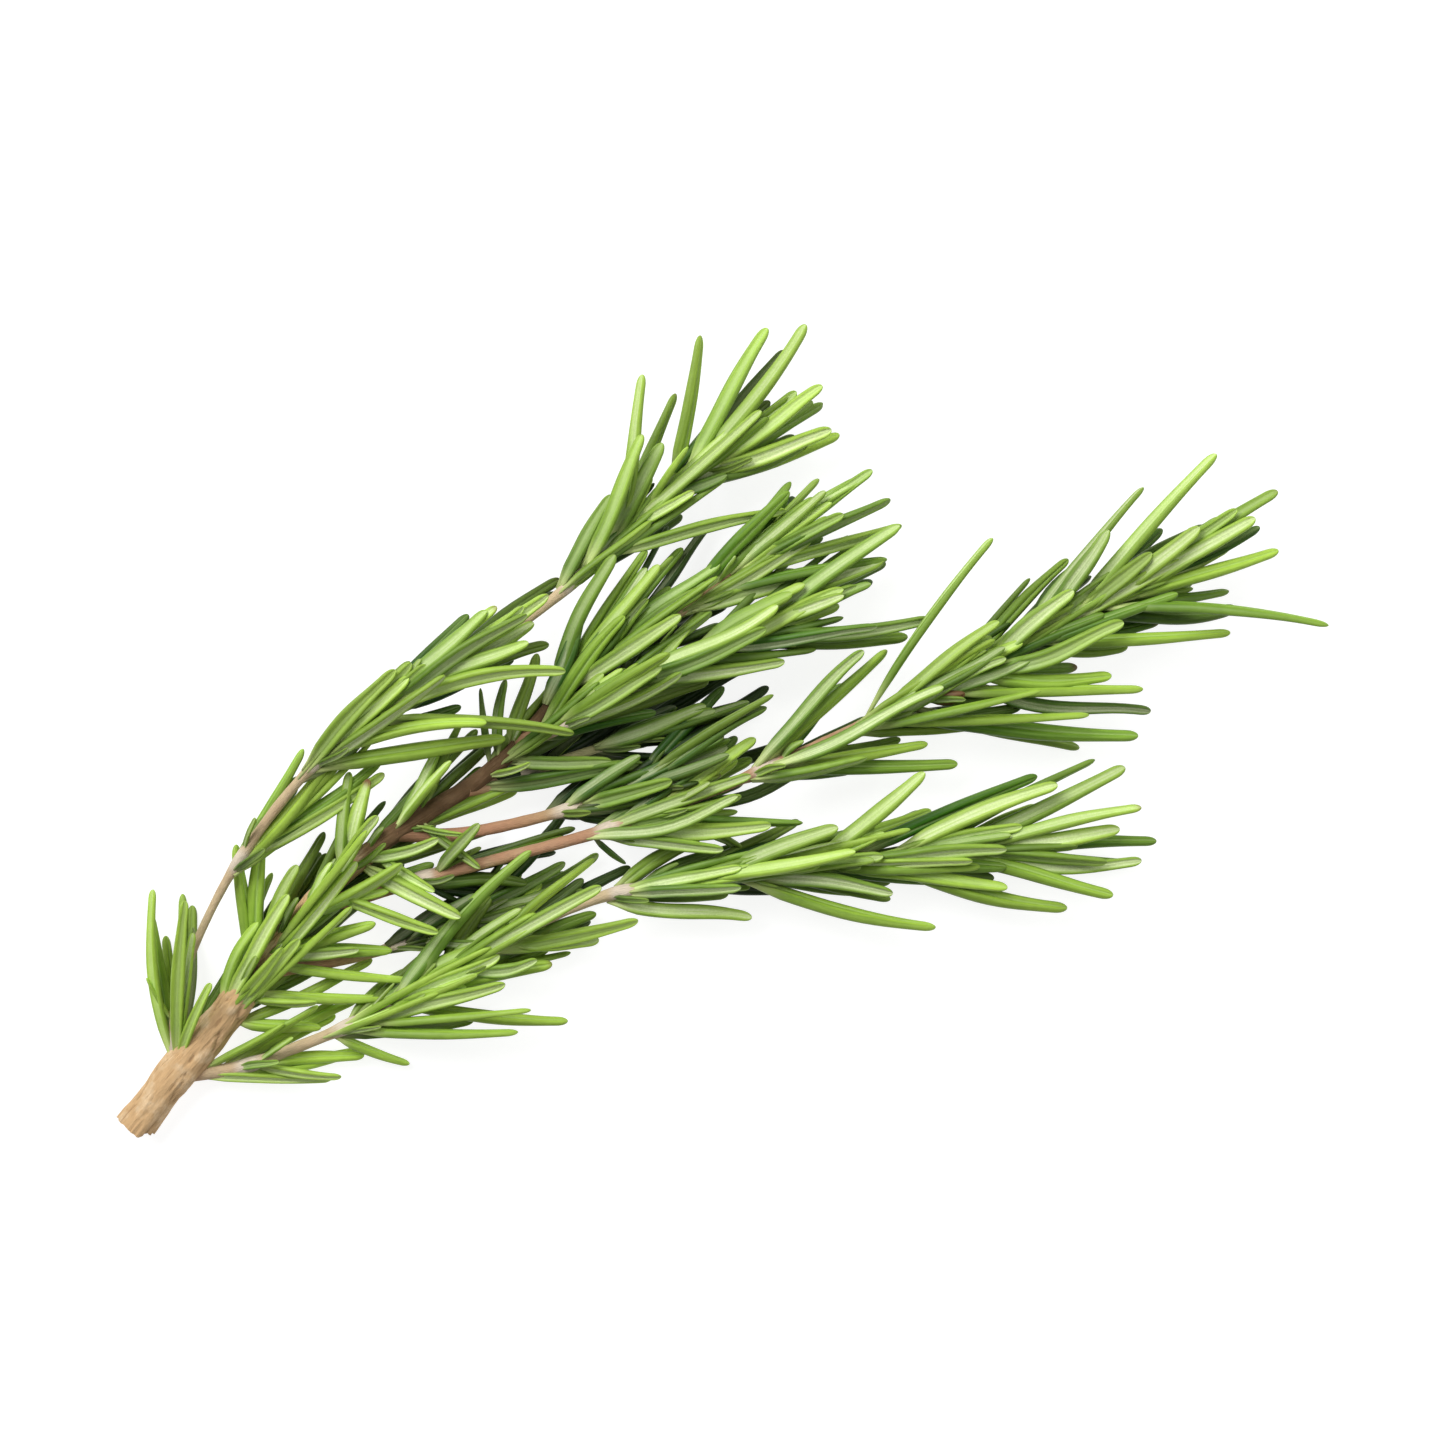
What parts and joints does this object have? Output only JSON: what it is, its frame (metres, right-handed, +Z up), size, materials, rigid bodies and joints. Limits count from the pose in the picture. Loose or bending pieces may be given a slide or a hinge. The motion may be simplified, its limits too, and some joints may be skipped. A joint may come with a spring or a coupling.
{
  "type": "cut rosemary sprig",
  "caption": "Cut, branched sprig of rosemary lying on its side: a woody stem that forks into thin shoots with whorls of needle leaves.",
  "frame": {"origin": "middle of the footprint, on the surface that the sprig lies on", "axes": "+X along the sprig from the cut end to the leaf tips, +Y across it to the left, +Z up"},
  "size_m": [0.1964, 0.1038, 0.021],
  "materials": {
    "bark": "rough, flaking bark",
    "twig_bark": "thin downy bark",
    "leaf": "waxy, satin"
  },
  "bodies": {
    "root": {"fork_shoot_leaves_1": "leaf", "fork_shoot_leaves_2": "leaf", "fork_shoot_leaves_3": "leaf", "fork_shoot_leaves_4": "leaf", "fork_shoot_stem": "twig_bark", "inner_shoot_leaves_1": "leaf", "inner_shoot_leaves_2": "leaf", "inner_shoot_stem": "twig_bark", "leader_leaves_1": "leaf", "leader_leaves_10": "leaf", "leader_leaves_2": "leaf", "leader_leaves_3": "leaf", "leader_leaves_4": "leaf", "leader_leaves_5": "leaf", "leader_leaves_6": "leaf", "leader_leaves_7": "leaf", "leader_leaves_8": "leaf", "leader_leaves_9": "leaf", "leader_stem": "bark", "left_shoot_leaves_1": "leaf", "left_shoot_leaves_2": "leaf", "left_shoot_leaves_3": "leaf", "left_shoot_leaves_4": "leaf", "left_shoot_leaves_5": "leaf", "left_shoot_leaves_6": "leaf", "left_shoot_leaves_7": "leaf", "left_shoot_leaves_8": "leaf", "left_shoot_leaves_9": "leaf", "left_shoot_stem": "twig_bark", "low_shoot_leaves_1": "leaf", "low_shoot_leaves_2": "leaf", "low_shoot_stem": "twig_bark", "middle_shoot_leaves_1": "leaf", "middle_shoot_leaves_10": "leaf", "middle_shoot_leaves_2": "leaf", "middle_shoot_leaves_3": "leaf", "middle_shoot_leaves_4": "leaf", "middle_shoot_leaves_5": "leaf", "middle_shoot_leaves_6": "leaf", "middle_shoot_leaves_7": "leaf", "middle_shoot_leaves_8": "leaf", "middle_shoot_leaves_9": "leaf", "middle_shoot_stem": "twig_bark", "right_shoot_leaves_1": "leaf", "right_shoot_leaves_10": "leaf", "right_shoot_leaves_11": "leaf", "right_shoot_leaves_2": "leaf", "right_shoot_leaves_3": "leaf", "right_shoot_leaves_4": "leaf", "right_shoot_leaves_5": "leaf", "right_shoot_leaves_6": "leaf", "right_shoot_leaves_7": "leaf", "right_shoot_leaves_8": "leaf", "right_shoot_leaves_9": "leaf", "right_shoot_stem": "twig_bark", "under_shoot_leaves_1": "leaf", "under_shoot_leaves_2": "leaf", "under_shoot_stem": "twig_bark"}
  },
  "joints": []
}
